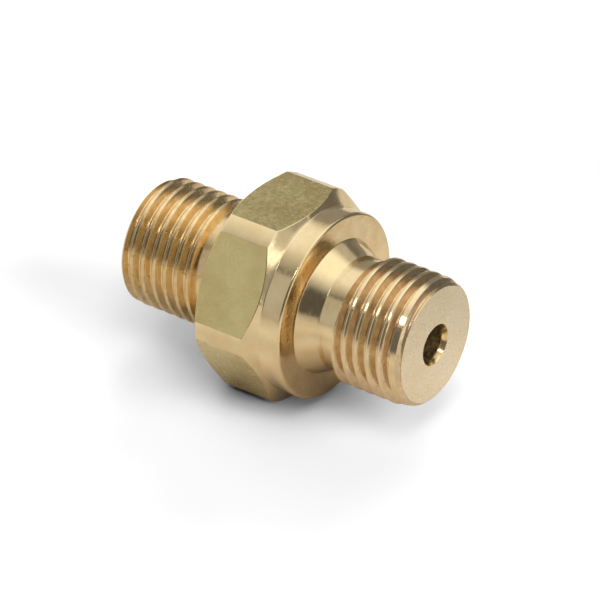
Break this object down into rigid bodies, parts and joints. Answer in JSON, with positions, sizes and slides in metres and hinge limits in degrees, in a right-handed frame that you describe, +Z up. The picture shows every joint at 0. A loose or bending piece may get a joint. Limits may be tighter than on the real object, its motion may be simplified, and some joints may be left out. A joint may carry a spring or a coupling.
{
  "type": "test point coupling",
  "caption": "Straight double male coupling for a hydraulic test point, with a hexagon, a sealing collar and a bore right through.",
  "frame": {"origin": "on the bore's axis, in the plane of the collar's sealing face", "axes": "+X along the bore's axis, out of the front connection that the collar faces; -Z square to the hexagon's lowest flat, on which the part lies; +Y to the right, seen from the front end looking back with +Z up, towards a corner of the hexagon"},
  "size_m": [0.0327, 0.0214, 0.0196],
  "materials": {
    "body": "turned and milled, bare"
  },
  "bodies": {
    "root": {"coupling_body": "body"}
  },
  "joints": []
}
